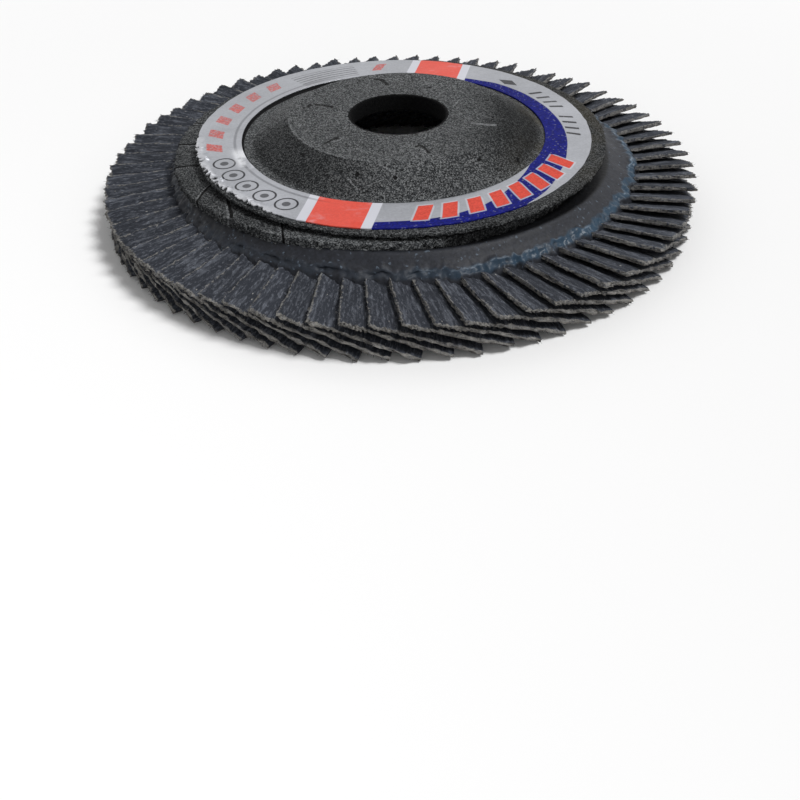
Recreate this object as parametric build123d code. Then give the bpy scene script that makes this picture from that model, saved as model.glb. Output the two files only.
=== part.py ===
from build123d import *
import os
from math import asin, cos, degrees, radians, sin, sqrt

# Flap disc for a small angle grinder, 100 mm across with a 16 mm bore.
# Frame: Z is the spindle axis. The working face, where the lower edges of the
# abrasive flaps lie, is Z = 0, and the hub stands up towards the grinder.
# Millimetres and degrees.

# Overall sizes
disc_diameter = 100.0
bore_diameter = 16.0

# Raised hub of the backing plate, a truncated cone with an even wall
hub_flat_radius = 18.4
hub_slope_width = 6.0
hub_rise = 3.4
hub_edge_rounding = 1.2
hub_foot_rounding = 0.6
bore_edge_rounding = 0.35

# Flange of the backing plate: a moulded top layer over a layer of glass mesh, each
# a little off the bore's centre, with a narrow groove between their edges
top_layer_radius = 34.5
top_layer_centre = (0.4, -0.3)
top_layer_thickness = 1.1
mesh_layer_radius = 34.8
mesh_layer_centre = (-3.2, 0.5)
mesh_layer_thickness = 1.3
rim_groove_height = 0.4
rim_groove_depth = 1.0
rim_rounding = 0.25

# Abrasive flaps: flat strips of coated cloth that overlap like fan blades
flap_count = 72
flap_width = 16.5
flap_thickness = 0.75
flap_inset = 2.6             # from the hub's foot to the flaps' inner ends
flap_clearance = 0.05        # least gap between neighbours, at their inner ends
first_flap_angle = 3.0       # angle of the first flap's centre line from +X
flaps_per_node = 2

# Adhesive between the flaps and the backing plate
adhesive_thickness = 2.0     # from the flaps' upper edges to the plate
adhesive_keying = 0.6        # how far it reaches down between the flaps
adhesive_inset = 0.8         # from the flaps' inner ends to its inner edge
adhesive_shoulder_width = 0.6
adhesive_slope_width = 3.4
adhesive_edge_height = 0.45  # height of the squeezed-out edge above the flaps
adhesive_rounding = 0.4

# Foil label, which lies on the top layer round the foot of the hub
label_hole_clearance = 1.2
label_edge_inset = 1.3
label_thickness = 0.2
label_centre = (-0.9, 0.3)

# Worked-out radii
disc_radius = disc_diameter / 2
bore_radius = bore_diameter / 2
hub_foot_radius = hub_flat_radius + hub_slope_width
label_inner_radius = hub_foot_radius + label_hole_clearance
label_outer_radius = top_layer_radius - label_edge_inset
flap_inner_radius = hub_foot_radius + flap_inset
adhesive_inner_radius = flap_inner_radius + adhesive_inset
adhesive_shoulder_radius = mesh_layer_radius + adhesive_shoulder_width
adhesive_outer_radius = adhesive_shoulder_radius + adhesive_slope_width

# The flaps lie one on the next at their inner ends, so the cloth's thickness sets
# how steeply they lean.
flap_pitch = 360 / flap_count
inner_spacing = (
    flap_inner_radius * sin(radians(flap_pitch))
    - flap_width / 2 * (1 - cos(radians(flap_pitch)))
)
flap_tilt = degrees(asin((flap_thickness + flap_clearance) / inner_spacing))
flap_rise = flap_width * sin(radians(flap_tilt)) + flap_thickness * cos(radians(flap_tilt))
flap_half_span = (
    flap_width / 2 * cos(radians(flap_tilt)) + flap_thickness / 2 * sin(radians(flap_tilt))
)
flap_outer_end = sqrt(disc_radius**2 - flap_half_span**2)
flap_length = flap_outer_end - flap_inner_radius

# Worked-out heights, from the working face up
plate_bottom = flap_rise + adhesive_thickness
mesh_layer_top = plate_bottom + mesh_layer_thickness
top_layer_bottom = mesh_layer_top + rim_groove_height
plate_top = top_layer_bottom + top_layer_thickness
plate_thickness = plate_top - plate_bottom
hub_top = plate_top + hub_rise
hub_bottom = hub_top - plate_thickness


def disc(radius, bottom, height, centre=(0, 0)):
    """A flat round layer standing on the height bottom, about a centre in XY."""
    place = Pos(centre[0], centre[1], bottom)
    return place * Cylinder(radius, height, align=(Align.CENTER, Align.CENTER, Align.MIN))


def turned(section):
    """The solid swept by a section in the XZ plane turned once round the Z axis."""
    return revolve(section, Axis.Z, 360)


def corners_at(section, points):
    """The section's corners that lie at the given (radius, height) points."""
    wanted = [Vector(radius, 0, height) for radius, height in points]
    return [
        corner
        for corner in section.vertices()
        if min((Vector(*corner) - point).length for point in wanted) < 0.001
    ]


def hub():
    """The cone-sided hub with its bore, out to where the flat flange begins."""
    bore_corners = [(bore_radius, hub_bottom), (bore_radius, hub_top)]
    shoulder_corners = [(hub_flat_radius, hub_bottom), (hub_flat_radius, hub_top)]
    foot_corners = [(hub_foot_radius, plate_bottom), (hub_foot_radius, plate_top)]
    flange_start = adhesive_inner_radius
    outline = [
        bore_corners[1],
        shoulder_corners[1],
        foot_corners[1],
        (flange_start, plate_top),
        (flange_start, plate_bottom),
        foot_corners[0],
        shoulder_corners[0],
        bore_corners[0],
    ]
    section = Plane.XZ * make_face(Polyline(*outline, close=True))
    section = fillet(corners_at(section, bore_corners), bore_edge_rounding)
    section = fillet(corners_at(section, shoulder_corners), hub_edge_rounding)
    section = fillet(corners_at(section, foot_corners), hub_foot_rounding)
    return turned(section)


def flange_layer(radius, bottom, height, centre):
    """One layer of the flange, with its upper edge rounded."""
    layer = disc(radius, bottom, height, centre)
    return fillet(layer.edges().group_by(Axis.Z)[-1], rim_rounding)


def backing_plate():
    """Hub and flange as one moulding, with the groove between the rim's layers."""
    top_layer = flange_layer(
        top_layer_radius, top_layer_bottom, top_layer_thickness, top_layer_centre
    )
    mesh_layer = flange_layer(
        mesh_layer_radius, plate_bottom, mesh_layer_thickness, mesh_layer_centre
    )
    under_top_layer = disc(
        top_layer_radius - rim_groove_depth, plate_bottom, plate_thickness, top_layer_centre
    )
    over_mesh_layer = disc(
        mesh_layer_radius - rim_groove_depth, plate_bottom, plate_thickness, mesh_layer_centre
    )
    flange = top_layer + mesh_layer + (under_top_layer & over_mesh_layer)
    return hub() + (flange - disc(adhesive_inner_radius, plate_bottom, plate_thickness))


def label_ring():
    """The flat foil label, a little off centre."""
    sheet = disc(label_outer_radius, plate_top, label_thickness, label_centre)
    hole = disc(label_inner_radius, plate_top, label_thickness, label_centre)
    return sheet - hole


def flap(index):
    """One flap: its leading edge is up, and it falls as the angle round Z grows."""
    strip = Box(
        flap_length,
        flap_width,
        flap_thickness,
        align=(Align.MIN, Align.CENTER, Align.CENTER),
    )
    leaning = Pos(flap_inner_radius, 0, flap_rise / 2) * Rot(X=-flap_tilt) * strip
    return Rot(Z=first_flap_angle + index * flap_pitch) * leaning


def adhesive_ring(flaps):
    """The cured adhesive, flat under the plate and keyed between the flaps' edges."""
    bottom = flap_rise - adhesive_keying
    edge = (adhesive_outer_radius, flap_rise + adhesive_edge_height)
    outline = [
        (adhesive_inner_radius, bottom),
        (adhesive_inner_radius, plate_bottom),
        (adhesive_shoulder_radius, plate_bottom),
        edge,
        (adhesive_outer_radius, bottom),
    ]
    section = Plane.XZ * make_face(Polyline(*outline, close=True))
    section = fillet(corners_at(section, [edge]), adhesive_rounding)
    return turned(section) - flaps


def main():
    os.makedirs("parts", exist_ok=True)
    flaps = [flap(index) for index in range(flap_count)]
    export_step(backing_plate(), "parts/backing_plate.step")
    export_step(label_ring(), "parts/label_ring.step")
    export_step(adhesive_ring(flaps), "parts/adhesive_ring.step")
    for node, start in enumerate(range(0, flap_count, flaps_per_node), start=1):
        group = Compound(children=flaps[start : start + flaps_per_node])
        export_step(group, f"parts/flaps_{node:02d}.step")


main()
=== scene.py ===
"""Flap disc for an angle grinder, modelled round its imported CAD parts.

The plate, its label, the adhesive and the flaps are worked out as grids of points in
millimetres, about the spindle axis, with the working face at height 0. Each becomes one
closed mesh, or one for each pair of flaps, in metres.
"""

import math

import bpy
import numpy as np
from mathutils import Matrix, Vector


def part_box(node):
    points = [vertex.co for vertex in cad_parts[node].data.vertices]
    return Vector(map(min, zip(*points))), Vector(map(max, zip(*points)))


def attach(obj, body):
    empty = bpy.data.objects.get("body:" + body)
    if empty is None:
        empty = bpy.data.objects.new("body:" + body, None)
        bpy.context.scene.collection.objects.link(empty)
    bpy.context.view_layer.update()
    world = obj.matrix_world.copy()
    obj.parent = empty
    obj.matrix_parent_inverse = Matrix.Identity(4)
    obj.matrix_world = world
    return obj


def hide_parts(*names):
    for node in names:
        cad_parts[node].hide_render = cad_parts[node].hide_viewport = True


bl_info = {
    "name": "Flap Disc",
    "version": (1, 0, 0),
    "blender": (4, 5, 0),
    "location": "3D View > Sidebar > Flap Disc",
    "description": "Builds a flap disc: backing plate, label, adhesive and flaps",
    "category": "Add Mesh",
}

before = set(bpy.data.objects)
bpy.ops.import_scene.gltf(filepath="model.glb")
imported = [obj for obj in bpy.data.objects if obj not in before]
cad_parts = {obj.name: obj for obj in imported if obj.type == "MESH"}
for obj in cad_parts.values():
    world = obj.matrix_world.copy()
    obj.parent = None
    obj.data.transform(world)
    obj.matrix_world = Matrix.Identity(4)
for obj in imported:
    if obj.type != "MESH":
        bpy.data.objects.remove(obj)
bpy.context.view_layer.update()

MM = 1000.0  # millimetres in a metre
FLAP_NODES = sorted(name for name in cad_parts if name.startswith("flaps_"))


def in_mm(lengths):
    """Lengths in metres as a list of millimetres."""
    return [value * MM for value in lengths]


def box_mm(node):
    """The lowest and highest corners of a CAD node, in millimetres."""
    return [in_mm(corner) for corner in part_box(node)]


PLATE_LOW, PLATE_HIGH = box_mm("backing_plate")
LABEL_LOW, LABEL_HIGH = box_mm("label_ring")
ADHESIVE_LOW, ADHESIVE_HIGH = box_mm("adhesive_ring")
FLAP_HIGH = box_mm(FLAP_NODES[0])[1]


# ---- settings


def linear(red, green, blue):
    """A screen colour from 0 to 255 as the linear colour that shaders take."""
    return tuple(
        part / 12.92 if part <= 0.04045 else ((part + 0.055) / 1.055) ** 2.4
        for part in (red / 255, green / 255, blue / 255)
    )


def length(millimetres, name, description):
    """A size property, held in metres as Blender's lengths are."""
    return bpy.props.FloatProperty(
        name=name, description=description, default=millimetres / MM,
        unit="LENGTH", subtype="DISTANCE", precision=5,
    )


def position(x, y, name):
    """A property for a circle's centre in the disc's plane, from the axis."""
    return bpy.props.FloatVectorProperty(
        name=name, description="The circle's centre, from the spindle axis",
        default=(x / MM, y / MM), size=2, unit="LENGTH", subtype="XYZ", precision=5,
    )


def rotation(degrees, name, description):
    """An angle property, held in radians as Blender's angles are."""
    return bpy.props.FloatProperty(
        name=name, description=description, default=math.radians(degrees),
        unit="ROTATION", subtype="ANGLE",
    )


def colour(red, green, blue, name, description):
    """A colour property, given as a screen colour from 0 to 255."""
    return bpy.props.FloatVectorProperty(
        name=name, description=description, default=linear(red, green, blue),
        size=3, min=0.0, max=1.0, subtype="COLOR",
    )


class PlateSettings(bpy.types.PropertyGroup):
    """Sizes and colours of the backing plate."""

    bore: length(8.0, "Bore radius", "Radius of the hole for the spindle")
    hub_flat: length(18.4, "Hub flat radius", "Radius of the hub's flat top")
    hub_foot: length(24.4, "Hub foot radius", "Radius where the hub meets the flange")
    top_radius: length(34.3, "Top layer radius", "Radius of the flange's top layer")
    top_centre: position(0.4, -0.1, "Top layer centre")
    mesh_radius: length(35.0, "Mesh layer radius", "Radius of the glass mesh layer")
    mesh_centre: position(-2.9, 0.2, "Mesh layer centre")
    top_thickness: length(0.55, "Top layer thickness", "Height of the top layer's rim")
    groove: length(0.5, "Groove height", "Gap between the rims of the two layers")
    mesh_drop: length(0.45, "Mesh layer drop", "How much lower it is on the left")
    mesh_pitch: length(8.5, "Mesh pitch", "Distance between strands of the glass mesh")
    resin: colour(54, 56, 58, "Resin", "Moulded resin between its grains")
    grain: colour(117, 119, 120, "Grain", "Light grains in the resin")
    # dark pores, and the black of the painted shade in the bore, the label's gap and the
    # groove
    pit_and_shade: colour(8, 8, 9, "Pits", "Dark pores in the resin")
    stain: colour(74, 68, 52, "Stain", "Brownish patches near the hub's foot")
    # the colour of the scratches, and of the painted highlight along the hub's crease
    scratch_and_highlight: colour(136, 138, 140, "Scratches", "Rubbed lines on the hub")


class LabelSettings(bpy.types.PropertyGroup):
    """Sizes and colours of the foil label."""

    inner: length(25.6, "Inner radius", "Radius of the label's hole")
    outer: length(33.2, "Outer radius", "Radius of the label's outer edge")
    centre: position(-0.9, 0.3, "Centre")
    fray: length(0.9, "Fray", "How deep the torn part of the edge is")
    silver: colour(166, 168, 174, "Silver", "Printed silver ground")
    white: colour(203, 204, 212, "White", "Stripes beside the red fields")
    red: colour(220, 84, 70, "Red", "Red fields and marks")
    blue: colour(14, 20, 104, "Blue", "Curved dark blue field")
    black: colour(34, 34, 40, "Black", "Thin lines and rings")
    # torn paper, and the painted highlight where the foil crumples
    paper: colour(200, 201, 204, "Paper", "Torn paper at the frayed edge")


class AdhesiveSettings(bpy.types.PropertyGroup):
    """Sizes and colours of the adhesive under the plate."""

    shoulder: length(35.4, "Shoulder radius", "Where the slope leaves the plate")
    climb: length(0.6, "Climb", "How far it rises up the plate's rim at the front")
    body: colour(35, 37, 43, "Body", "Adhesive filled with dust")
    blue: colour(36, 60, 79, "Blue", "Clear edge that was squeezed out")
    # the painted highlight on the clear edge's crests, and the dust specks
    dust_and_highlight: colour(138, 156, 174, "Gleam", "Pale crests of the clear edge")


class FlapSettings(bpy.types.PropertyGroup):
    """Sizes and colours of the abrasive flaps."""

    inner_radius: length(27.0, "Inner radius", "Where the flaps' inner ends lie")
    strip_length: length(22.376, "Length", "Length of a flap, along the radius")
    strip_width: length(16.5, "Width", "Width of a flap")
    thickness: length(0.75, "Thickness", "Thickness of the coated cloth")
    tilt: rotation(20.155, "Tilt", "How far a flap leans from level")
    first_angle: rotation(3.0, "First angle", "Where the first flap's centre line points")
    cloth: colour(42, 45, 52, "Cloth", "Black backing cloth")
    thread: colour(108, 112, 121, "Threads", "Raised threads that catch dust")
    cut: colour(156, 153, 147, "Cut edge", "Fibres along the cut edges")
    grit: colour(66, 64, 63, "Grit", "Abrasive grains on the working side")
    dust: colour(178, 176, 172, "Dust", "Pale specks")


class StageSettings(bpy.types.PropertyGroup):
    """Floor, lamps and camera."""

    floor: colour(252, 252, 252, "Floor", "Pale floor")
    focal_length: bpy.props.FloatProperty(
        name="Focal length", description="Lens, for a sensor 36 mm wide",
        default=43.22, unit="CAMERA",
    )


SETTINGS = {
    "flap_disc_plate": PlateSettings,
    "flap_disc_label": LabelSettings,
    "flap_disc_adhesive": AdhesiveSettings,
    "flap_disc_flaps": FlapSettings,
    "flap_disc_stage": StageSettings,
}


# ---- mesh formulas


def waves(points, size, seed, count=24):
    """A smooth random value at each point, mostly between -1 and 1: the sum of sine
    waves in random directions whose lengths are near size, scaled to a spread of 0.5."""
    random = np.random.default_rng(seed)
    directions = random.normal(size=(count, 3))
    directions /= np.linalg.norm(directions, axis=1, keepdims=True)
    lengths = size * random.uniform(0.7, 1.5, (count, 1))
    phases = random.uniform(0, 2 * np.pi, count)
    turns = points @ (directions * 2 * np.pi / lengths).T + phases
    return 0.5 * np.sin(turns).sum(-1) / math.sqrt(count / 2)


def wavy(points, *terms):
    """The sum of some random waves, each of its own size, seed and height."""
    return sum(waves(points, size, seed) * height for size, seed, height in terms)


def smooth_step(value, low, high):
    """0 below low, 1 above high, and 3t^2 - 2t^3 between them."""
    t = np.clip((value - low) / (high - low), 0, 1)
    return t * t * (3 - 2 * t)


def angles(columns):
    """Evenly spaced angles once round the axis, from -pi up to pi."""
    return np.linspace(-np.pi, np.pi, columns, endpoint=False)


def circle(angle, radius):
    """Points of a level circle about the axis."""
    return turned(angle, np.stack([angle * 0 + radius, angle * 0], -1))


def crowded(columns, middle, strength):
    """Angles once round the axis, closer together near a middle angle m: for evenly
    spaced a from m, m + a - strength sin a."""
    even = angles(columns)
    return middle + even - strength * np.sin(even)


def reach(angle, radius, centre):
    """How far a circle about another centre lies from the axis at each angle: with the
    centre's part along the direction p, p + sqrt(radius^2 - |centre|^2 + p^2)."""
    along = centre[0] * np.cos(angle) + centre[1] * np.sin(angle)
    return along + np.sqrt(radius**2 - centre[0] ** 2 - centre[1] ** 2 + along**2)


def outline_rows(angle, corners):
    """Rows of (radius, height) along a closed outline, one value for each angle.

    A corner is (radius, height, rounding, step). Its rounding is a quadratic curve that
    begins and ends that far from it, and the side after it is divided into lengths of
    about step."""
    points = np.array([
        np.stack([np.broadcast_to(radius, angle.shape), np.full(angle.shape, height)], -1)
        for radius, height, _, _ in corners
    ])
    before, after = np.roll(points, 1, 0), np.roll(points, -1, 0)
    starts, ends = [], []
    for point, last, following, corner in zip(points, before, after, corners):
        for other, found in ((last, starts), (following, ends)):
            side = other - point
            found.append(point + side * corner[2] / np.linalg.norm(side, axis=-1).mean())
    rows = []
    for index, (_, _, rounding, step) in enumerate(corners):
        start, point, end = starts[index], points[index], ends[index]
        if rounding:
            rows += [
                (1 - t) ** 2 * start + 2 * t * (1 - t) * point + t**2 * end
                for t in np.linspace(0, 1, 5)
            ]
        else:
            rows.append(point)
        target = starts[(index + 1) % len(corners)]
        size = np.linalg.norm(target - end, axis=-1).mean()
        parts = max(1, round(size / step))
        rows += [end + (target - end) * part / parts for part in range(1, parts)]
    return np.array(rows)


def turned(angle, rows):
    """Points from rows of (radius, height): x = r cos a, y = r sin a, z = height."""
    radius, height = rows[..., 0], rows[..., 1]
    return np.stack([radius * np.cos(angle), radius * np.sin(angle), height], -1)


def opened(angle, rows):
    """An outline's points in space, and views of its rows' radii and heights, so that
    adding to them in place changes the rows."""
    return (turned(angle, rows), *np.moveaxis(rows, -1, 0))


def ring_faces(rows, columns):
    """Four-cornered faces of a grid that closes on itself both ways."""
    grid = np.arange(rows * columns).reshape(rows, columns)
    up, along = np.roll(grid, -1, 0), np.roll(grid, -1, 1)
    return np.stack([grid, along, np.roll(up, -1, 1), up], -1).reshape(-1, 4)


def box_faces(counts):
    """Four-cornered faces of a box whose sides are divided into counts cells. A point's
    number is its place in a full lattice of (counts + 1) points each way."""
    strides = np.array([(counts[1] + 1) * (counts[2] + 1), counts[2] + 1, 1])
    faces = []
    for axis in range(3):
        one, other = (axis + 1) % 3, (axis + 2) % 3
        steps = np.arange(counts[one])[:, None] * strides[one]
        low = (steps + np.arange(counts[other]) * strides[other]).ravel()
        beside, above = low + strides[one], low + strides[other]
        face = np.stack([low, beside, beside + strides[other], above], -1)
        faces += [face + counts[axis] * strides[axis], face[:, ::-1]]
    return np.concatenate(faces)


def frayed(settings, places, number, lift):
    """Where points of the strips come to lie in their own strip, after wear: waves push
    the cut end and the leading edge in and out, lengthwise ridges and a slow bend raise
    the surface, the strip thins at its worn edges, and its free end lifts with the square
    of the distance along it."""
    size, width = settings.strip_length * MM, settings.strip_width * MM
    worn_end, worn_edge, thinning, apart = 1.2, 0.9, 0.30, 37.0
    u, v, w = np.moveaxis(places, -1, 0)
    near_end = smooth_step(u, size - worn_end, size)
    near_edge = smooth_step(-v, width / 2 - worn_edge, width / 2)
    free = (u / size) ** 2
    sample = np.stack([u, v, w * 2 + number * apart], -1)
    ridges = wavy(sample * (0.12, 1.0, 1.0), (0.8, 55, 0.13))
    grit = wavy(sample, (0.7, 56, 0.06))
    bend = wavy(sample * (0.4, 1.0, 1.0), (9.0, 57, 0.18)) * free
    worn = 1 - thinning * np.maximum(near_end, near_edge)
    outside = np.abs(w) > settings.thickness * MM * 0.45
    return np.stack([
        u + near_end * (wavy(sample, (0.45, 51, 0.30), (3.0, 52, 0.14)) - 0.1),
        v - near_edge * (wavy(sample, (0.7, 53, 0.16), (4.0, 54, 0.08)) - 0.05),
        w * worn + np.where(w > 0, ridges, grit) * outside + np.abs(bend) + lift * free,
    ], -1)


def laid_on_disc(settings, places, turn):
    """Points of the strips, in space: u runs along the radius from the inner ends, v and
    w lean by the tilt, and the whole is turned about the axis. None goes below 0."""
    u, v, w = np.moveaxis(places, -1, 0)
    cosine, sine = math.cos(settings.tilt), math.sin(settings.tilt)
    radial = settings.inner_radius * MM + u
    sideways = v * cosine + w * sine
    height = FLAP_HIGH[2] / 2 - v * sine + w * cosine
    return np.stack([
        radial * np.cos(turn) - sideways * np.sin(turn),
        radial * np.sin(turn) + sideways * np.cos(turn),
        np.maximum(height, 0.0),
    ], -1)


def fibres(roots, reaches, bends, thickness):
    """Bent square rods of two lengths: the middle at a share t of the reach is root +
    t reach + 4t(1 - t) bend, and the half thickness falls from half to a tenth."""
    share = np.array([0.0, 0.5, 1.0])[:, None]
    middle = (
        roots[..., None, :] + share * reaches[..., None, :]
        + 4 * share * (1 - share) * bends[..., None, :]
    )
    across = np.cross(reaches, (0.3, 0.2, 1.0))
    across /= np.linalg.norm(across, axis=-1, keepdims=True)
    other = np.cross(reaches, across)
    other /= np.linalg.norm(other, axis=-1, keepdims=True)
    half = thickness * (0.5 - 0.4 * share[:, :, None, None])
    sides = np.array([-1.0, 1.0])
    return (
        middle[..., None, None, :]
        + half * sides[:, None, None] * across[..., None, None, None, :]
        + half * sides[None, :, None] * other[..., None, None, None, :]
    )


def add_piece(name, points, faces, finish, slot, nodes, values=None):
    """A mesh object from points in millimetres, which rides on the disc and stands for
    CAD nodes. The faces are turned round if the volume that they enclose comes out
    negative."""
    corner = [points[faces[:, index]] for index in range(4)]
    volume = sum(
        (corner[0] * np.cross(corner[k], corner[k + 1])).sum() for k in (1, 2)
    )
    if volume < 0:
        faces = faces[:, ::-1]
    mesh = bpy.data.meshes.new(name)
    mesh.vertices.add(len(points))
    mesh.vertices.foreach_set("co", (points / MM).astype(np.float32).ravel())
    mesh.loops.add(faces.size)
    mesh.loops.foreach_set("vertex_index", np.ascontiguousarray(faces, np.int32).ravel())
    mesh.polygons.add(len(faces))
    mesh.polygons.foreach_set("loop_start", np.arange(0, faces.size, 4, dtype=np.int32))
    mesh.update(calc_edges=True)
    for key, value in (values or {}).items():
        kind, item = ("FLOAT", "value") if value.ndim == 1 else ("FLOAT_VECTOR", "vector")
        layer = mesh.attributes.new(key, kind, "POINT")
        layer.data.foreach_set(item, value.astype(np.float32).ravel())
    mesh.shade_smooth()
    mesh.set_sharp_from_angle(angle=math.radians(50))
    mesh.materials.append(finish)
    piece = bpy.data.objects.new(name, mesh)
    bpy.context.scene.collection.objects.link(piece)
    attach(piece, "root")
    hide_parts(*nodes)


def add_ring(name, angle, rows, *details):
    """A piece from a closed outline's rows of (radius, height), all round the axis."""
    points = turned(angle, rows).reshape(-1, 3)
    add_piece(name, points, ring_faces(*rows.shape[:2]), *details)


# ---- material maths


def operators(operation):
    """A Python operator that adds a Math node, and its reflected form."""
    def plain(self, other):
        return self.finish.maths(operation, self, other)

    def reflected(self, other):
        return self.finish.maths(operation, other, self)

    return plain, reflected


class Field:
    """A value that varies over a surface. Arithmetic on it adds Math nodes."""

    __add__, __radd__ = operators("ADD")
    __sub__, __rsub__ = operators("SUBTRACT")
    __mul__, __rmul__ = operators("MULTIPLY")
    __truediv__, __rtruediv__ = operators("DIVIDE")
    __pow__, __rpow__ = operators("POWER")

    def __init__(self, finish, socket):
        self.finish, self.socket = finish, socket

    def math(self, operation, *others):
        return self.finish.maths(operation, self, *others)

    def __neg__(self):
        return self * -1.0

    def __abs__(self):
        return self.math("ABSOLUTE")

    def least(self, other):
        return self.math("MINIMUM", other)

    def most(self, other):
        return self.math("MAXIMUM", other)

    def step(self, low, high):
        """0 below low, 1 above high and smooth between; low may be the greater."""
        return self.finish.node(
            "MapRange", {"Value": self, "From Min": low, "From Max": high},
            interpolation_type="SMOOTHSTEP",
        )

    def within(self, limit, soft):
        """1 where it is nearer to 0 than a limit, with an edge soft by that much."""
        return abs(self).step(limit + soft, limit - soft)


class Finish:
    """The node tree of one material, or of the world."""

    def __init__(self, name, owners=bpy.data.materials):
        self.owner = owners.new(name)
        self.owner.use_nodes = True
        self.tree = self.owner.node_tree
        self.tree.nodes.clear()
        self.ground = None

    def node(self, kind, inputs=None, output=0, **settings):
        """Adds a shader node of a kind: its settings first, then its sockets' values or
        links. Returns one of its outputs."""
        made = self.tree.nodes.new("ShaderNode" + kind)
        stops = settings.pop("stops", ())
        for key, value in settings.items():
            setattr(made, key, value)
        for index, (place, shade) in enumerate(stops):
            ramp = made.color_ramp.elements
            stop = ramp[index] if index < len(ramp) else ramp.new(1.0)
            stop.position, stop.color = place, (shade, shade, shade, 1)
        for key, value in (inputs or {}).items():
            if isinstance(value, Field):
                self.tree.links.new(value.socket, made.inputs[key])
            else:
                made.inputs[key].default_value = value
        return Field(self, made.outputs[output]) if made.outputs else None

    def maths(self, operation, *values):
        """A Math node."""
        return self.node("Math", dict(enumerate(values)), operation=operation)

    def vectors(self, operation, inputs):
        """A Vector Math node."""
        return self.node("VectorMath", inputs, operation=operation)

    def place(self):
        """Object coordinates in millimetres."""
        metres = self.node("TexCoord", output="Object")
        return self.vectors("SCALE", {0: metres, "Scale": MM})

    def attribute(self, name, output="Fac"):
        """One of the mesh's own attributes."""
        return self.node("Attribute", output=output, attribute_name=name)

    def parts(self, vector):
        """The x, y and z of a vector."""
        made = self.node("SeparateXYZ", {0: vector})
        outputs = made.socket.node.outputs
        return [Field(self, outputs[index]) for index in range(3)]

    def stretched(self, vector, share):
        """A vector with only a share of its x, which draws a pattern out along x."""
        return self.vectors("MULTIPLY", {0: vector, 1: (share, 1.0, 1.0)})

    def noise(self, vector, size, detail=2.0, roughness=0.5):
        """Soft noise from 0 to 1 whose patches are about size millimetres wide."""
        return self.node("TexNoise", {
            "Vector": vector, "Scale": 0.5 / size, "Detail": detail,
            "Roughness": roughness,
        })

    def cells(self, vector, size, output="Distance"):
        """Voronoi cells about size millimetres wide."""
        return self.node("TexVoronoi", {"Vector": vector, "Scale": 1 / size}, output)

    def chances(self, vector, size):
        """Three random values for each cell."""
        return self.parts(self.cells(vector, size, "Color"))

    def curve(self, value, points):
        """A value read along straight lines through (value, result) points."""
        (low, _), (high, _) = points[0], points[-1]
        results = [result for _, result in points]
        base, span = min(results), max(results) - min(results)
        share = self.node("MapRange", {"Value": value, "From Min": low, "From Max": high})
        stops = [((at - low) / (high - low), (y - base) / span) for at, y in points]
        return self.node("ValToRGB", {0: share}, stops=stops) * span + base

    def mixed(self, share, one, other):
        """Colour one where share is 0 and the other where it is 1."""
        values = [
            value if isinstance(value, Field) else (*value, 1.0) for value in (one, other)
        ]
        return self.node(
            "Mix", {0: share, 6: values[0], 7: values[1]}, output=2, data_type="RGBA"
        )

    def tinted(self, shade, colour):
        """A colour multiplied by a value."""
        return self.vectors("SCALE", {0: colour, "Scale": shade})

    def bump(self, height, depth):
        """A normal from a height of 0 to 1 that stands for depth millimetres."""
        return self.node(
            "Bump", {"Height": height, "Distance": depth / MM, "Strength": 1.0}
        )

    def cover(self, share, colour, shade=None):
        """Lays a colour, multiplied by a shade, over the ground where share is 1."""
        over = colour if shade is None else self.tinted(shade, colour)
        self.ground = self.mixed(share, self.ground, over)

    def done(self, inputs):
        """Sets the Principled shader's sockets and returns the material."""
        inputs["Base Color"] = self.ground
        shader = self.node("BsdfPrincipled", inputs)
        self.node("OutputMaterial", {"Surface": shader})
        return self.owner


def polar(x, y):
    """The distance from the axis and the angle in degrees, from -180 to 180."""
    return (x * x + y * y) ** 0.5, y.math("ARCTAN2", x) * math.degrees(1)


def surface(name):
    """A new material, its place in millimetres, that place's x, y and z, and its
    distance from the axis and angle."""
    finish = Finish(name)
    place = finish.place()
    x, y, z = finish.parts(place)
    return finish, place, (x, y, z), polar(x, y)


# ---- finishes


HUB_CRACKS = [
    # middle x, middle y, angle, half length, half width
    (-3.55, 15.35, 14.0, 0.6, 0.39),
    (-2.65, 14.95, -55.0, 0.65, 0.55),
    (-2.05, 13.6, -70.0, 0.95, 0.36),
    (-15.05, 4.35, -35.0, 0.4, 0.59),
    (-12.55, 4.1, -25.0, 1.8, 0.31),
    (-11.1, -9.87, 50.0, 1.45, 0.21),
    (-10.17, -9.14, 18.0, 0.5, 0.34),
    (2.75, -12.8, 30.0, 0.5, 0.29),
    (3.53, -13.0, -50.0, 0.6, 0.26),
    (4.15, -14.4, -75.0, 1.0, 0.23),
    (-6.76, -19.52, -38.0, 0.35, 0.31),
    (-0.93, -20.7, -50.0, 0.3, 0.31),
    (12.21, -16.04, -48.0, 0.24, 0.36),
    (18.59, -13.32, -80.0, 0.5, 0.26),
    (-5.35, 18.3, -33.0, 0.3, 0.52),
    (5.8, 10.9, -60.0, 0.3, 0.34),
]
HUB_SCRATCHES = [
    (13.9, -5.15, -16.0, 2.1, 0.26),
    (14.9, -5.55, -12.0, 0.8, 0.42),
    (10.03, 3.84, 66.0, 1.6, 0.14),
    (-9.8, -9.75, 40.0, 1.1, 0.14),
    (-2.0, -19.5, -38.0, 1.7, 0.12),
    (-7.5, -20.8, -52.0, 1.4, 0.14),
    (3.65, -14.7, -66.0, 0.8, 0.14),
    (5.5, 12.6, 20.0, 1.2, 0.12),
    (17.1, 8.2, 64.0, 1.5, 0.12),
]
MESH_CRACKS = [
    (-36.4, 1.0, -3.0, 2.6, 0.28),
    (-35.0, -7.6, 6.0, 2.6, 0.28),
    (-30.8, -16.7, 74.0, 3.4, 0.22),
    (-26.3, -22.3, -79.0, 3.4, 0.26),
    (-34.6, 9.4, -14.0, 2.6, 0.2),
    (-17.8, -29.0, -84.0, 3.0, 0.18),
]


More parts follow.
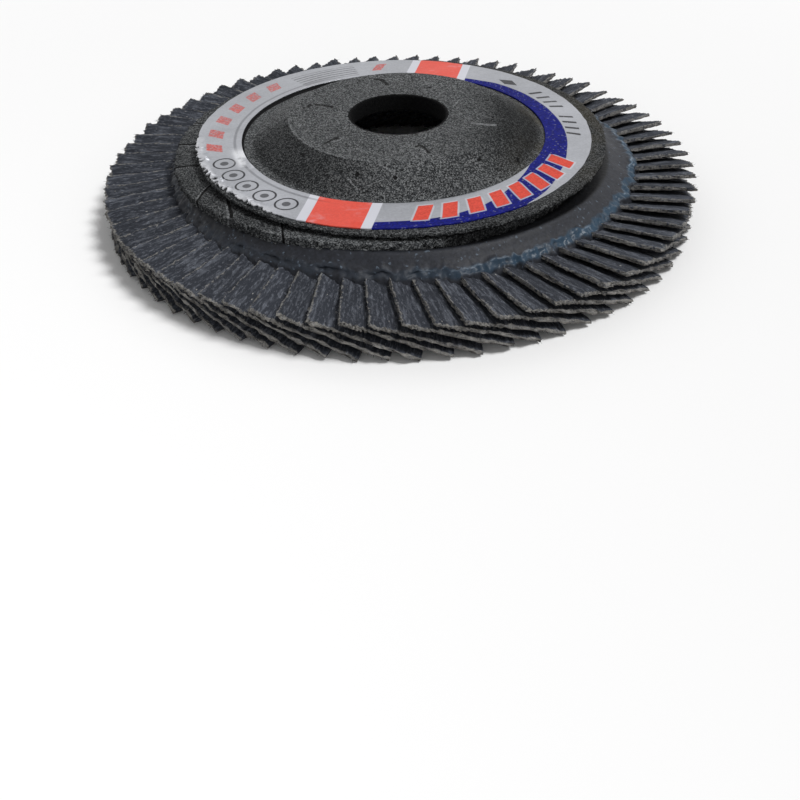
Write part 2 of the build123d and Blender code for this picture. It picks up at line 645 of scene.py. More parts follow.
def drawn_lines(x, y, wobble, lines):
    """A mask of thin marks: each is a straight line, bent to the side by the wobble."""
    total = None
    for middle_x, middle_y, degrees, half, width in lines:
        c, s = math.cos(math.radians(degrees)), math.sin(math.radians(degrees))
        along = (x - middle_x) * c + (y - middle_y) * s
        across = (y - middle_y) * c - (x - middle_x) * s
        line = (across + wobble).within(width * 0.95, width * 0.2)
        line = line * along.within(half, width * 0.3)
        total = line if total is None else total.most(line)
    return total


def resin_finish(name, settings, label, with_mesh):
    """Granular moulded resin: a grey ground with pale grains and dark pores of a fifth
    of a millimetre, slow patches, darker and rougher areas, of which the front left of
    the hub's slope is painted shade, painted light and shade on the mesh layer's front
    rim, a painted highlight with some rubbed wear along the crease, black painted shade
    in the bore, the gap inside the label and the groove, and a brown stain at the hub's
    foot. The mesh layer cracks along the strands of glass in it, and the hub has short
    cracks and scratches."""
    finish, place, (x, y, z), (radius, angle) = surface(name)
    grain_size, bore, flat = 0.17, settings.bore * MM, settings.hub_flat * MM
    top, hub_top = LABEL_LOW[2], PLATE_HIGH[2]
    rim_bottom = top - settings.top_thickness * MM
    chance, second, _ = finish.chances(place, grain_size)
    medium = finish.noise(place, 0.60, 3.0, 0.7)
    patches = finish.noise(place, 5.0, 3.0, 0.55)
    grains = chance.step(0.48, 0.95) + medium.step(0.52, 0.75) * 0.10
    pores = chance.step(0.34, 0.14).most(medium.step(0.36, 0.28) * 0.5)
    finish.ground = finish.mixed(grains, settings.resin, settings.grain)
    finish.cover(pores * 0.85, settings.pit_and_shade)
    stained = radius.step(18.5, 23.0) * (angle - 8.0).within(40.0, 30.0)
    stained = stained * patches.step(0.35, 0.62)
    finish.cover(stained * 0.45, settings.stain)

    # darker and rougher on two sides of the hub's slope and on the flange, most on its
    # right
    uneven = patches * 9.0 + angle
    right = (uneven + 6.0).within(34.0, 22.0) * radius.step(12.0, 19.0)
    # painted shade on the front left of the hub's slope
    left = (uneven + 141.0).within(33.0, 17.0) * radius.step(flat - 0.15, flat + 0.25)
    flange = radius.step(31.0, 33.0) * (x.step(5.0, 12.0) * 0.25 + 0.5)
    darker_and_rougher = right * radius.step(24.8, 22.8) * 1.3
    darker_and_rougher = darker_and_rougher.most(left * radius.step(25.5, 24.0)).most(flange)
    # painted light on the left of the mesh layer's front rim, painted shade on its right
    rim = y.step(-29.0, -31.5) * radius.step(33.0, 33.8)
    rim = rim * z.step(rim_bottom - 0.04, rim_bottom - 0.34)
    light = rim * (x.step(8.0, 4.0) * 1.4 - 0.55) + 1.0
    light = (patches * 0.8 + 0.6) * (1.0 - darker_and_rougher * 0.55) * light
    finish.ground = finish.tinted(light, finish.ground)
    # a painted highlight along the crease at the front left, with some rubbed wear, in
    # the colour of the scratches
    crease = (radius - flat + 0.15).within(0.135, 0.085)
    crease = crease * (angle + 145.0).within(42.5, 17.5)
    finish.cover(crease * chance * 0.5, settings.scratch_and_highlight)

    # painted shade, black: in the bore, in the gap inside the label's edge and between
    # the two layers
    width = finish.curve(angle, [
        (-180, 0.45), (-165, 0.20), (-140, 0.0), (70, 0.0), (95, 0.35), (115, 1.0),
        (140, 1.2), (165, 0.6), (180, 0.45),
    ])
    label_x, label_y = in_mm(label.centre)
    past_edge = polar(x - label_x, y - label_y)[0] - label.inner * MM
    gap = (past_edge + width + chance * 0.15).step(0.0, 0.12)
    gap = gap * past_edge.step(0.9, 0.5) * z.step(top - 0.7, top - 0.2)
    shaded = (radius + chance * 0.12).step(bore + 0.56, bore + 0.44).most(gap)
    if not with_mesh:
        groove = z.step(rim_bottom + 0.1, rim_bottom - 0.02) * radius.step(31.0, 32.0)
        shaded = shaded.most(groove * z.step(PLATE_LOW[2] + 0.6, PLATE_LOW[2] + 1.0))
    finish.cover(shaded * 0.97, settings.pit_and_shade)

    wobble = (finish.noise(place, 1.3, 2.0) - 0.5) * 0.7
    if with_mesh:
        cracks = drawn_lines(x, y, wobble, MESH_CRACKS)
        # on the mesh layer, a pale line in the colour of the scratches beside each crack,
        # offset to one side
        worn = drawn_lines(x + 0.35, y + 0.25, wobble, MESH_CRACKS) * chance
    else:
        cracks = drawn_lines(x, y, wobble, HUB_CRACKS)
        worn = drawn_lines(x, y, wobble, HUB_SCRATCHES) * second.step(0.15, 0.6)
        above = z - finish.curve(radius, [
            (0.0, hub_top), (flat, hub_top), (settings.hub_foot * MM, top), (40.0, top),
        ])
        upper = above.step(-1.3, -1.0)
        cracks, worn = cracks * upper, worn * upper
    finish.cover(worn * 0.8, settings.scratch_and_highlight)
    finish.cover(cracks, settings.pit_and_shade)
    height = finish.cells(place, grain_size) * 0.9 + medium * 0.6
    return finish.done({
        "Roughness": second * 0.3 + shaded * 0.4 + darker_and_rougher * 0.2 + 0.42,
        "Specular IOR Level": 0.08,
        "Normal": finish.bump(height - cracks * 1.5, 0.12),
    })


def repeated(angle, radius, first, pitch, count, middle):
    """A row of evenly spaced marks: the distance along the arc and outwards from the
    nearest mark's middle, and a mask of the angles that hold marks."""
    share = (angle - first) / pitch
    nearest = share.math("ROUND")
    along = (share - nearest) * math.radians(pitch) * radius
    held = (nearest + 0.5).step(-0.01, 0.01) * (nearest - count + 0.5).step(0.01, -0.01)
    return along, radius - middle, held


def bars(row, half_width, half_height, lean):
    """A mask of a bar with soft printed edges at each mark of a row. It leans by that
    much for each millimetre outwards."""
    along, outwards, held = row
    sideways = (along + outwards * lean).within(half_width, 0.06)
    return sideways * outwards.within(half_height, 0.06) * held


def foil_finish(settings):
    """Printed foil: a silver ground with two red fields between white stripes, a dark
    blue field that swings from the inner edge to the outer, plain rings, bars, ticks,
    lines and a lozenge, torn paper at the frayed part of the edge, painted shade along a
    pressed line near the inner edge, and a painted highlight in the paper colour where
    the foil crumples."""
    finish, place, (x, y, _), (radius, angle) = surface("printed_foil")
    centre_x, centre_y = in_mm(settings.centre)
    own_radius, _ = polar(x - centre_x, y - centre_y)
    ink = finish.noise(place, 0.22, 2.0, 0.7)
    sheen = finish.noise(finish.stretched(place, 0.25), 1.6, 4.0, 0.6)
    slow = finish.noise(place, 7.0, 2.0)
    grain, pale, _ = finish.chances(place, 0.24)
    crumple = finish.noise(place, 1.7, 4.0, 0.6)
    tone = sheen * 0.26 + slow * 0.45 + grain * 0.14 + crumple * 0.16 + 0.46
    finish.ground = finish.tinted(tone, settings.silver)

    # blue field, between two curves of angle and radius
    outer = finish.curve(angle, [
        (-100, 35.0), (-60, 35.0), (-58, 32.9), (-54, 32.3), (-46, 31.5), (-34, 29.9),
        (-18, 28.6), (-8, 28.2), (13, 27.6), (30, 27.6), (49, 27.4), (61, 26.4),
        (66, 24.0),
    ])
    inner = finish.curve(angle, [
        (-100, 31.4), (-97, 31.1), (-92, 30.8), (-82, 30.5), (-74, 30.0), (-66, 29.3),
        (-59, 28.1), (-50, 26.6), (-38, 25.2), (-28, 24.0), (66, 20.0),
    ])
    blue = (outer - radius).step(-0.07, 0.07) * (radius - inner).step(-0.07, 0.07)
    blue = blue * (angle + 104.0).step(0.0, 0.5) * (66.0 - angle).step(0.0, 0.5)
    dark_blue = finish.tinted(grain * 0.9 + slow * 0.5 + 0.3, settings.blue)
    dark_blue = finish.mixed(pale.step(0.93, 0.99) * 0.25, dark_blue, settings.silver)
    finish.cover(blue * ink.step(0.16, 0.30), dark_blue)

    # leaning red bars with pale rims, over the blue field
    row = repeated(angle, radius, first=-84.0, pitch=8.2, count=8, middle=28.6)
    large = bars(row, 1.15, 2.1, 0.35)
    rims = bars(row, 1.45, 2.4, 0.35) - large
    finish.cover(rims * 0.6, settings.white)
    finish.cover(large, settings.red, grain * 0.25 + 0.74)

    # small faded red bars on the left, by angles that don't break there
    left = (-y).math("ARCTAN2", -x) * math.degrees(1) + 180.0
    row = repeated(left, radius, first=137.4, pitch=10.2, count=6, middle=31.0)
    lone = repeated(left, radius, first=96.0, pitch=10.0, count=1, middle=30.0)
    small = bars(row, 1.35, 1.3, 0.45).most(bars(lone, 0.9, 1.6, 0.45))
    faded = slow.step(0.3, 0.7) * 0.25 + ink.step(0.35, 0.55) * 0.50 + 0.15
    finish.cover(small * faded, settings.red, grain * 0.3 + 0.6)
    printed = blue.most(small).most(large)

    # plain rings with a dot in the lower left
    row = repeated(angle, radius, first=-159.5, pitch=8.6, count=5, middle=30.2)
    along, outwards, held = row
    distance = (along * along + outwards * outwards) ** 0.5
    dots = distance.step(0.75, 0.6) * 0.8
    dark = (distance - 1.72).within(0.16, 0.06).most(dots) * held

    # ticks and a lozenge on the right, and fine lines at the back
    for first in (-5.0, 17.5):
        row = repeated(angle, radius, first, pitch=4.5, count=4, middle=29.4)
        dark = dark.most(bars(row, 0.34, 1.15, 0.3))
    row = repeated(angle, radius, first=44.5, pitch=20.0, count=1, middle=29.2)
    along, outwards, held = row
    lozenge = (abs(along) / 2.2 + abs(outwards) / 1.1).step(1.06, 0.94)
    dark = dark.most(lozenge * held)
    lines = ((radius - 26.6).math("MODULO", 1.0) - 0.5).within(0.22, 0.08)
    lines = lines * (radius - 29.6).within(2.5, 0.1) * (angle - 116.6).within(11.8, 0.2)
    dark = dark.most(lines * (ink.step(0.30, 0.60) * 0.3 + 0.35))
    finish.cover(dark * ink.step(0.25, 0.36), settings.black)

    # red fields with white stripes, front and back, straight across the whole width
    slant = math.radians(13.0)
    front_shift, back_shift, red_half, white_half = 1.92, 2.7, 4.18, 5.74
    across = (x - centre_x) * math.cos(slant) - (y - centre_y) * math.sin(slant)
    front = y.step(0.01, -0.01)
    across = across + front * front_shift - (1.0 - front) * back_shift
    white = across.within(white_half, 0.06)
    red = across.within(red_half, 0.06)
    finish.cover(white, settings.white, slow * 0.2 + 0.9)
    worn = finish.noise(finish.stretched(place, 0.5), 0.9, 3.0).step(0.62, 0.75)
    glints = sheen.step(0.58, 0.74) * 0.30 + crumple.step(0.55, 0.75) * 0.25
    red = red * (1.0 - worn * 0.25 - glints)
    finish.cover(red, settings.red, slow * 0.3 + grain * 0.1 + 0.8)

    # painted shade along a pressed line near the inner edge, torn paper, and a painted
    # highlight in the paper colour where the foil crumples at the front left
    pressed = (own_radius - 26.75).within(0.23, 0.11)
    pressed = pressed * (abs(angle) - 158.0).within(41.0, 7.0)
    finish.cover(pressed * 0.4, settings.black)
    torn_side = (abs(angle + 25.0) - 130.0).within(29.0, 5.0) * y.step(4.0, -2.0)
    torn = (own_radius + ink * 0.9).step(33.1, 33.4)
    torn = torn.most((own_radius + crumple * 3.0).step(33.0, 34.0) * 0.6) * torn_side
    # painted highlight: the crumpled foil near the inner edge at the front left is drawn
    # as bright paper
    crumple_highlight = (own_radius + crumple * 2.0).step(29.4, 27.8)
    crumple_highlight = crumple_highlight * (angle + 160.0).within(8.5, 3.5)
    # the torn mask also carries the painted highlight
    torn = torn.most(crumple_highlight * crumple.step(0.35, 0.55))
    finish.cover(torn * 0.8, settings.paper, crumple_highlight * 0.4 + 1.0)
    return finish.done({
        "Metallic": (1.0 - torn.most(printed).most(white)) * 0.97,
        "Roughness": sheen * 0.14 + 0.28 + torn.most(printed * 0.75) * 0.4,
        "Specular IOR Level": 0.09,
        "Normal": finish.bump(sheen * 0.3 + crumple + ink * 0.1 - pressed * 0.3, 0.10),
    })


def adhesive_finish(settings, plate):
    """Cured adhesive: dark grey and a little dusty under the plate, painted shadow near
    black at the foot of the plate's rim, and clear blue with painted highlights on its
    crests in uneven patches along the outer edge, most of all on the right. The rim
    attribute holds each point's distance from that edge."""
    finish, place, (x, y, _), (_, angle) = surface("cured_adhesive")
    rim = finish.attribute("rim")
    lumps = finish.noise(place, 1.3, 3.0, 0.6)
    fine = finish.noise(place, 0.3, 3.0, 0.6)
    slow = finish.noise(place, 6.0, 2.0)
    chance, _, _ = finish.chances(place, 0.35)
    tone = fine * 1.1 + chance * 0.5 + slow * 0.5 - 0.10
    finish.ground = finish.tinted(tone, settings.body)
    dusty = chance.step(0.93, 0.98) * fine.step(0.45, 0.65)
    finish.cover(dusty * 0.35, settings.dust_and_highlight)
    side = (angle + 14.0 + slow * 20.0).within(49.0, 21.0) * 0.9 + 0.1
    blue = (rim + lumps * 1.6 - 0.8).step(1.15, 0.65)
    blue = blue * (rim + lumps * 0.8).step(-0.1, 0.4) * side
    blue = blue * (lumps + slow * 0.8).step(0.62, 0.90)
    clear = finish.tinted(lumps * 0.9 + fine * 0.5 + 0.25, settings.blue)
    # painted highlight along the crests of the clear edge
    crest_highlight = (rim - 0.8 + (slow - 0.5) * 1.6).within(0.11, 0.11) * lumps.step(0.50, 0.60)
    clear = finish.mixed(crest_highlight * 0.6, clear, settings.dust_and_highlight)
    finish.cover(blue, clear)
    # painted shadow: near black at the foot of the plate's rim, all round
    centre_x, centre_y = in_mm(plate.top_centre)
    from_plate = polar(x - centre_x, y - centre_y)[0] - plate.top_radius * MM
    foot = (from_plate - fine * 0.8).step(0.6, 0.0)
    finish.ground = finish.tinted(1.0 - foot * 0.85, finish.ground)
    return finish.done({
        "Roughness": 0.46 - blue * 0.24 + fine * 0.15,
        "Specular IOR Level": 0.20,
        "Normal": finish.bump(lumps * 0.6 + fine * 0.4, 0.14),
    })


def cloth_finish(settings):
    """Coated cloth, from its own places along, across and through the strip: black
    backing with raised threads along it, a dark gritty working side, and pale fibres
    where the strip is cut."""
    finish = Finish("abrasive_cloth")
    place = finish.place()
    strip = finish.attribute("strip", "Vector")
    tone = finish.attribute("tone")
    along, across, through = finish.parts(strip)
    shift = finish.tinted(tone * 90.0, (1.0, 1.0, 1.0))
    shifted = finish.vectors("ADD", {0: strip, 1: shift})
    fine = finish.noise(place, 0.13, 2.0, 0.7)
    medium = finish.noise(place, 0.6, 3.0, 0.6)
    tufts = finish.noise(place, 0.3, 2.0)
    long_streaks = finish.noise(finish.stretched(shifted, 0.16), 0.32, 4.0, 0.65)
    short_streaks = finish.noise(finish.stretched(shifted, 0.30), 0.13, 2.0, 0.6)
    warp, weft = 2 * math.pi / 0.46, 2 * math.pi / 0.40
    weave = (along * warp).math("SINE") * (across * weft).math("SINE")
    raised = long_streaks.step(0.48, 0.66) * 0.55 + short_streaks.step(0.52, 0.70) * 0.6
    raised = raised * (medium * 0.8 + 0.4)
    cloth = finish.mixed(raised.least(1.0), settings.cloth, settings.thread)
    finish.ground = finish.tinted(fine + weave * 0.10 + tone * 0.30 + 0.35, cloth)

    grains = finish.cells(place, 0.42)
    under = (through + fine * 0.25).step(0.02, -0.06)
    finish.cover(under, settings.grit, grains * 1.3 + medium * 0.6 + 0.25)

    to_end = settings.strip_length * MM - along
    to_edge = across + settings.strip_width * MM / 2
    at_end = (to_end + fine - 0.5).step(0.22, -0.05)
    at_edge = (to_edge + (tufts - 0.5) * 1.2).step(0.20, -0.10) * (tufts * 0.6 + 0.55)
    fibrous = (fine * 0.7 + tufts * 0.5).step(0.45, 0.75) * 0.6 + 0.4
    cut = at_end.most(at_edge) * fibrous * (1.0 - under * 0.5)
    finish.cover(cut, settings.cut)

    slender = finish.stretched(shifted, 0.45)
    chance, strength, _ = finish.chances(slender, 0.5)
    near_rim = to_end.step(7.0, 0.5) * 0.10
    chosen = (chance + near_rim).step(0.93, 0.96)
    specks = finish.cells(slender, 0.5).step(0.20, 0.10) * chosen
    finish.cover(specks * (strength * 0.7 + 0.1), settings.dust)
    relief = long_streaks * 0.5 + short_streaks * 0.4 + fine * 0.4 + weave * 0.08
    return finish.done({
        "Roughness": 0.80 - specks * 0.2 + fine * 0.1,
        "Specular IOR Level": 0.22,
        "Normal": finish.bump(relief + grains * under * 0.6, 0.16),
    })


def floor_finish(settings):
    """A pale matt floor that keeps the disc's shadow, and far from the disc turns into
    the plain white of the background."""
    finish, _, _, (radius, _) = surface("pale_floor")
    matt = finish.node("BsdfDiffuse", {"Color": (*settings.floor, 1.0), "Roughness": 0.5})
    white = finish.node("Emission", {"Strength": 1.0})
    share = radius.step(90.0, 260.0) * seen_directly(finish)
    mixed = finish.node("MixShader", {0: share, 1: matt, 2: white})
    finish.node("OutputMaterial", {"Surface": mixed})
    return finish.owner


def seen_directly(finish):
    """1 for rays from the camera and for those that gloss or glass sends on."""
    camera, gloss, glass = [
        finish.node("LightPath", output=f"Is {kind} Ray")
        for kind in ("Camera", "Glossy", "Transmission")
    ]
    return camera.most(gloss).most(glass)


# ---- operators


class FLAPDISC_OT_plate(bpy.types.Operator):
    """Build the hub and the flange's two layers"""

    bl_idname = "flap_disc.plate"
    bl_label = "Backing Plate"

    def execute(self, context):
        s, label = context.scene.flap_disc_plate, context.scene.flap_disc_label
        top_layer = s.top_radius * MM, in_mm(s.top_centre)
        mesh_layer = s.mesh_radius * MM, in_mm(s.mesh_centre)
        bore, flat, foot = s.bore * MM, s.hub_flat * MM, s.hub_foot * MM
        bottom, top, hub_top = PLATE_LOW[2], LABEL_LOW[2], PLATE_HIGH[2]
        inside_top = hub_top - (top - bottom)
        rim_bottom = top - s.top_thickness * MM
        mesh_top = rim_bottom - s.groove * MM

        def rims(angle, layer):
            """A layer's rim, and the hidden wall 1 mm inside the nearer of the two."""
            walls = [reach(angle, radius - 1.0, middle) for radius, middle in
                     (top_layer, mesh_layer)]
            return reach(angle, *layer), np.minimum(*walls)

        # hub and top layer: radius, height, rounding and step at each corner
        angle = angles(720)
        edge, core = rims(angle, top_layer)
        rows = outline_rows(angle, [
            (bore, inside_top, 0.2, 0.6),
            (bore, hub_top, 0.2, 0.5),
            (flat, hub_top, 0.35, 0.5),
            (foot, top, 0.25, 0.5),
            (edge, top, 0.12, 0.2),
            (edge, rim_bottom, 0.08, 0.4),
            (core, rim_bottom, 0.0, 0.5),
            (core, bottom, 0.0, 1.0),
            (foot, bottom, 0.25, 0.7),
            (flat, inside_top, 0.45, 0.7),
        ])
        points, radius, height = opened(angle, rows)
        rim = smooth_step(radius, edge - 1.1, edge - 0.1)
        rim = rim * smooth_step(height, rim_bottom - 0.4, rim_bottom)
        ragged = wavy(points, (0.6, 11, 0.14), (5.0, 12, 0.08)) - 0.05
        radius += rim * ragged + wavy(points, (0.8, 13, 0.02))
        below = rim * smooth_step(height, top - 0.3, rim_bottom)
        height += below * wavy(points, (0.9, 17, 0.22), (4.0, 18, 0.10))
        height += wavy(points, (0.8, 14, 0.025), (6.0, 15, 0.03))
        height -= rim * np.abs(wavy(points, (0.7, 16, 0.10)))
        add_ring(
            "backing_plate_moulding", angle, rows,
            resin_finish("moulded_resin", s, label, False), "resin", ["backing_plate"],
        )

        # mesh layer, which dips on the left and along the strands in it
        angle = angles(1080)
        mesh_top = mesh_top - s.mesh_drop * MM * np.maximum(-np.cos(angle), 0) ** 1.5
        edge, core = rims(angle, mesh_layer)
        rows = outline_rows(angle, [
            (core - 1.2, bottom, 0.0, 1.5),
            (core - 1.2, mesh_top, 0.0, 0.35),
            (edge, mesh_top, 0.15, 0.3),
            (edge, bottom, 0.10, 0.6),
        ])
        points, radius, height = opened(angle, rows)
        rim = smooth_step(radius, edge - 1.0, edge - 0.1)
        radius += rim * (wavy(points, (1.0, 21, 0.20), (4.0, 22, 0.16)) - 0.05)
        pitch, depth, half_width = s.mesh_pitch * MM, 0.06, 0.25
        wander = wavy(points, (9.0, 23, 0.5))
        for line in (points[..., 1] - 0.5 + wander, points[..., 0] + 6.2 + wander):
            near = np.abs((line / pitch + 0.5) % 1 - 0.5) * pitch
            height -= depth * np.exp(-((near / half_width) ** 2))
        height += wavy(points, (0.8, 24, 0.05), (3.0, 25, 0.06))
        height -= rim * np.abs(wavy(points, (0.9, 26, 0.15)))
        add_ring(
            "glass_mesh_layer", angle, rows,
            resin_finish("meshed_resin", s, label, True), "resin", ["backing_plate"],
        )
        return {"FINISHED"}


class FLAPDISC_OT_label(bpy.types.Operator):
    """Build the foil label with its frayed edge"""

    bl_idname = "flap_disc.label"
    bl_label = "Label"

    def execute(self, context):
        s = context.scene.flap_disc_label
        centre = in_mm(s.centre)
        low, high = LABEL_LOW[2], LABEL_HIGH[2]
        fray_start, fray_size, fray_middle = 175, 66, math.radians(-152.0)
        angle = crowded(1440, fray_middle, 0.6)
        into_fray = (np.degrees(angle) - fray_start) % 360
        frayed = smooth_step(into_fray, 0, 12)
        frayed = frayed * smooth_step(into_fray, fray_size, fray_size - 16)
        around = circle(angle, s.outer * MM)
        tear = np.abs(wavy(around, (1.7, 31, 1.0)))
        tear = tear + np.abs(wavy(around, (0.55, 32, 0.4)))
        inner = reach(angle, s.inner * MM, centre)
        outer = reach(angle, s.outer * MM, centre) + wavy(around, (2.5, 33, 0.05))
        outer = outer + frayed * (0.15 - tear * s.fray * MM)
        rows = outline_rows(angle, [
            (inner, low, 0.0, 0.2),
            (inner, high, 0.05, 0.4),
            (outer, high, 0.05, 0.2),
            (outer, low, 0.0, 1.2),
        ])
        points, radius, height = opened(angle, rows)
        level = points * (1, 1, 0)
        rise = (wavy(level, (7.0, 34, 1.0)) + 0.6) * 0.05
        edge = smooth_step(radius, outer - 1.8, outer)
        curl = np.abs(wavy(level, (1.6, 35, 0.55)))
        height += np.maximum(rise, 0) + edge * frayed * curl
        add_ring("foil_label", angle, rows, foil_finish(s), "foil_label", ["label_ring"])
        return {"FINISHED"}


class FLAPDISC_OT_adhesive(bpy.types.Operator):
    """Build the adhesive with its lumpy outer edge"""

    bl_idname = "flap_disc.adhesive"
    bl_label = "Adhesive"

    def execute(self, context):
        s = context.scene.flap_disc_adhesive
        low, high, flap_top = ADHESIVE_LOW[2], ADHESIVE_HIGH[2], FLAP_HIGH[2]
        inner = context.scene.flap_disc_flaps.inner_radius * MM + 0.8
        shoulder = s.shoulder * MM
        angle = angles(1080)
        outer = np.interp(
            np.degrees(angle),
            [-180, -115, -90, -56, -29, -19, -10, 0, 30, 90, 180],
            [38.5, 38.2, 38.3, 38.5, 38.9, 39.2, 39.8, 40.0, 39.6, 38.8, 38.5],
        )
        around = circle(angle, ADHESIVE_HIGH[0])
        outer = outer + wavy(around, (4.5, 41, 0.35), (1.5, 42, 0.25))
        rows = outline_rows(angle, [
            (inner, low, 0.0, 1.0),
            (inner, high, 0.0, 0.7),
            (shoulder, high, 0.5, 0.3),
            (shoulder + 2.3, flap_top + 0.75, 0.5, 0.25),
            (outer - 0.4, flap_top + 0.42, 0.4, 0.25),
            (outer + 0.3, flap_top - 0.05, 0.3, 0.25),
            (outer + 1.0, flap_top - 1.6, 0.2, 1.2),
        ])
        points, radius, height = opened(angle, rows)
        bead = smooth_step(radius, outer - 1.8, outer - 0.6)
        slope = smooth_step(radius, shoulder - 0.5, shoulder + 1.0)
        front = smooth_step(np.sin(angle), -0.35, -0.85)
        # the climb is highest at the plate's rim, 35 mm from the axis
        climb = smooth_step(radius, 34.2, 35.0) * smooth_step(radius, 37.2, 35.3)
        climb = climb * smooth_step(height, high - 2.0, high - 0.5)
        height += climb * front * s.climb * MM
        height += bead * wavy(points, (2.2, 43, 0.22), (0.9, 44, 0.10))
        height += slope * wavy(points, (4.0, 45, 0.06))
        add_ring(
            "adhesive_bead", angle, rows,
            adhesive_finish(s, context.scene.flap_disc_plate), "adhesive",
            ["adhesive_ring"], {"rim": (outer - radius).ravel()},
        )
        return {"FINISHED"}


class FLAPDISC_OT_flaps(bpy.types.Operator):
    """Build the ring of overlapping flaps"""

    bl_idname = "flap_disc.flaps"
    bl_label = "Flaps"

    def execute(self, context):
        s = context.scene.flap_disc_flaps
        size, width, thick = in_mm((s.strip_length, s.strip_width, s.thickness))
        per_node = 2
        count = len(FLAP_NODES) * per_node

        # places along, across and through one strip, closer where it shows
        worn_length, open_width = 2.4, 5.5
        bound = size - worn_length
        along = np.concatenate([
            np.linspace(0, bound, 34, endpoint=False), np.linspace(bound, size, 9)
        ])
        across = np.concatenate([
            np.linspace(0, open_width, 20, endpoint=False),
            np.linspace(open_width, width, 14),
        ]) - width / 2
        through = np.linspace(-0.5, 0.5, 4) * thick
        counts = (len(along) - 1, len(across) - 1, len(through) - 1)
        keys, faces = np.unique(box_faces(counts), return_inverse=True)
        faces = faces.reshape(-1, 4)
        i, j, k = np.unravel_index(keys, [cells + 1 for cells in counts])
        strip = np.stack([along[i], across[j], through[k]], -1)

        # every strip at once: axis 0 is the flap and axis 1 the point
        random = np.random.default_rng(5)
        number = np.arange(count)[:, None]
        lift = random.uniform(0.0, 0.35, (count, 1))
        turn = s.first_angle + number * (2 * np.pi / count)
        turn = turn + random.uniform(-0.003, 0.003, (count, 1))
        tone = random.uniform(0.0, 1.0, count)
        places = np.broadcast_to(strip, (count, *strip.shape))
        points = laid_on_disc(s, frayed(s, places, number, lift), turn)

        # fibres along the end and the leading edge, from roots on the cut faces
        ends, edges, fibre_width = 52, 34, 0.055
        shape = (count, ends + edges)
        at_end = np.broadcast_to(np.arange(ends + edges) < ends, shape)
        share = random.uniform(0.0, 1.0, shape)
        roots = np.stack([
            np.where(at_end, size - 0.15, 9.0 + share * (size - 9.5)),
            np.where(at_end, (share - 0.5) * width, 0.12 - width / 2),
            random.uniform(-0.4, 0.4, shape) * thick,
        ], -1)
        spread = random.normal(size=(*shape, 3)) * (0.16, 0.16, 0.10)
        outward = random.uniform(0.25, 0.60, shape)[..., None]
        reaches = spread + outward * np.where(at_end[..., None], (1, 0, 0), (0, -1, 0))
        bends = random.normal(size=(*shape, 3)) * 0.06
        hairs = fibres(frayed(s, roots, number, lift), reaches, bends, fibre_width)
        hairs = laid_on_disc(s, hairs.reshape(count, -1, 3), turn)
        hair_faces = box_faces((2, 1, 1))
        hair_points = hair_faces.max() + 1
        hair_starts = np.arange(ends + edges)[:, None, None] * hair_points
        hair_faces = (hair_faces[None] + hair_starts).reshape(-1, 4)
        hair_places = np.repeat(roots, hair_points, axis=1)

        points = np.concatenate([points, hairs], 1)
        places = np.concatenate([places, hair_places], 1)
        faces = np.concatenate([faces, hair_faces + len(keys)])
        offsets = np.arange(per_node)[:, None, None] * points.shape[1]
        faces = (faces[None] + offsets).reshape(-1, 4)
        finish = cloth_finish(s)
        for index, node in enumerate(FLAP_NODES):
            chosen = slice(index * per_node, (index + 1) * per_node)
            add_piece(
                f"cloth_{node}", points[chosen].reshape(-1, 3), faces, finish,
                "abrasive_cloth", [node],
                {
                    "strip": places[chosen].reshape(-1, 3),
                    "tone": np.repeat(tone[chosen], points.shape[1]),
                },
            )
        return {"FINISHED"}


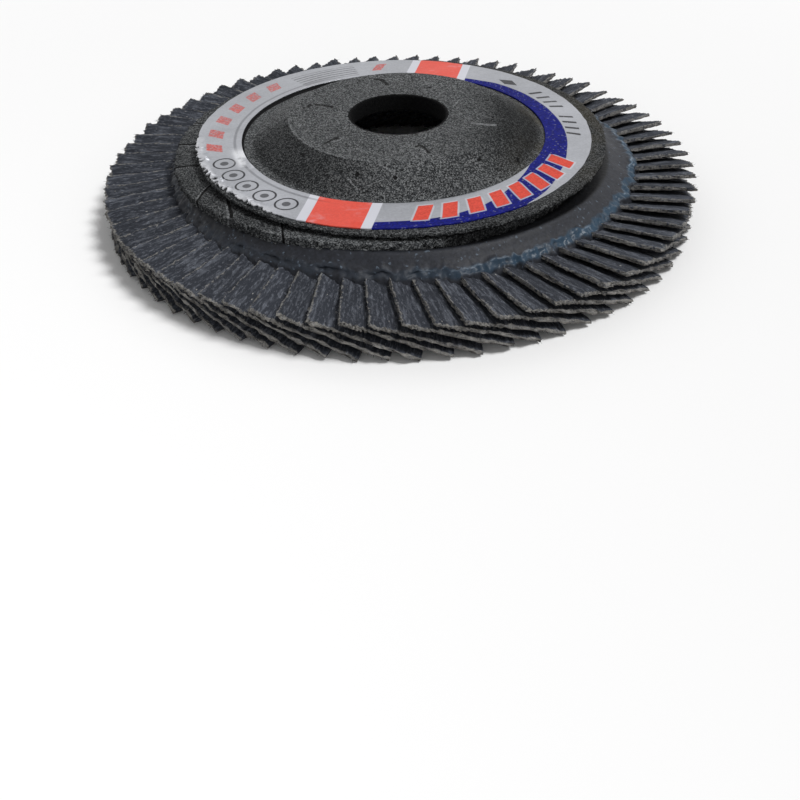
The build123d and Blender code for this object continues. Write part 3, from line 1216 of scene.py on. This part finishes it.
class FLAPDISC_OT_stage(bpy.types.Operator):
    """Set the floor, the lamp and the camera"""

    bl_idname = "flap_disc.stage"
    bl_label = "Stage"

    def execute(self, context):
        s, scene = context.scene.flap_disc_stage, context.scene

        def placed(name, data):
            """A new object in the scene."""
            made = bpy.data.objects.new(name, data)
            scene.collection.objects.link(made)
            return made

        half_side = 3.0
        corners = ((-1, -1), (1, -1), (1, 1), (-1, 1))
        mesh = bpy.data.meshes.new("floor")
        mesh.from_pydata(
            [(x * half_side, y * half_side, 0) for x, y in corners], [], [(0, 1, 2, 3)]
        )
        mesh.materials.append(floor_finish(s))
        floor = placed("floor", mesh)

        # soft light from behind and a little from in front, and plain white behind
        sky = Finish("studio", bpy.data.worlds)
        right, back, up = sky.parts(sky.node("TexCoord", output="Generated"))
        softbox = back.step(0.1, 0.8) * (up - right * 0.3).step(0.35, 0.50) * 0.66
        fill = back.step(-0.1, -0.8) * up.step(0.55, 0.10) * 0.45
        level = (softbox + fill + 0.28).most(seen_directly(sky))
        white = sky.node("Background", {"Color": (1, 1, 1, 1), "Strength": level})
        sky.node("OutputWorld", {"Surface": white})
        scene.world = sky.owner

        lamp = bpy.data.lights.new("key", "AREA")
        lamp.energy, lamp.size = 19.0, 0.50
        holder = placed("key", lamp)
        holder.location = (0.80, -0.20, 1.40)
        holder.rotation_euler = (-holder.location).to_track_quat("-Z", "Y").to_euler()

        view = bpy.data.cameras.new("camera")
        view.sensor_width, view.lens = 36.0, s.focal_length
        view.clip_start, view.clip_end = 0.01, 10.0
        scene.camera = placed("camera", view)
        scene.camera.matrix_world = Matrix((
            (0.99958688, 0.02813777, -0.00585882, -0.0020050),
            (-0.02241986, 0.63581517, -0.77151567, -0.1546085),
            (-0.01798360, 0.77132829, 0.63618335, 0.0799297),
            (0, 0, 0, 1),
        ))
        scene.view_settings.view_transform = "Standard"
        return {"FINISHED"}


OPERATORS = (
    FLAPDISC_OT_plate, FLAPDISC_OT_label, FLAPDISC_OT_adhesive, FLAPDISC_OT_flaps,
    FLAPDISC_OT_stage,
)


class FLAPDISC_PT_panel(bpy.types.Panel):
    """Lists the disc's pieces and their settings"""

    bl_label = "Flap Disc"
    bl_idname = "FLAPDISC_PT_panel"
    bl_space_type = "VIEW_3D"
    bl_region_type = "UI"
    bl_category = "Flap Disc"

    def draw(self, context):
        for (name, group), operator in zip(SETTINGS.items(), OPERATORS):
            box = self.layout.box()
            box.operator(operator.bl_idname)
            for key in group.__annotations__:
                box.prop(getattr(context.scene, name), key)


CLASSES = (*SETTINGS.values(), *OPERATORS, FLAPDISC_PT_panel)


def register():
    for item in CLASSES:
        bpy.utils.register_class(item)
    for name, group in SETTINGS.items():
        setattr(bpy.types.Scene, name, bpy.props.PointerProperty(type=group))


def unregister():
    for name in SETTINGS:
        delattr(bpy.types.Scene, name)
    for item in reversed(CLASSES):
        bpy.utils.unregister_class(item)


def main():
    register()
    for operator in OPERATORS:
        getattr(bpy.ops.flap_disc, operator.bl_idname.split(".")[1])()


if __name__ == "__main__":
    main()
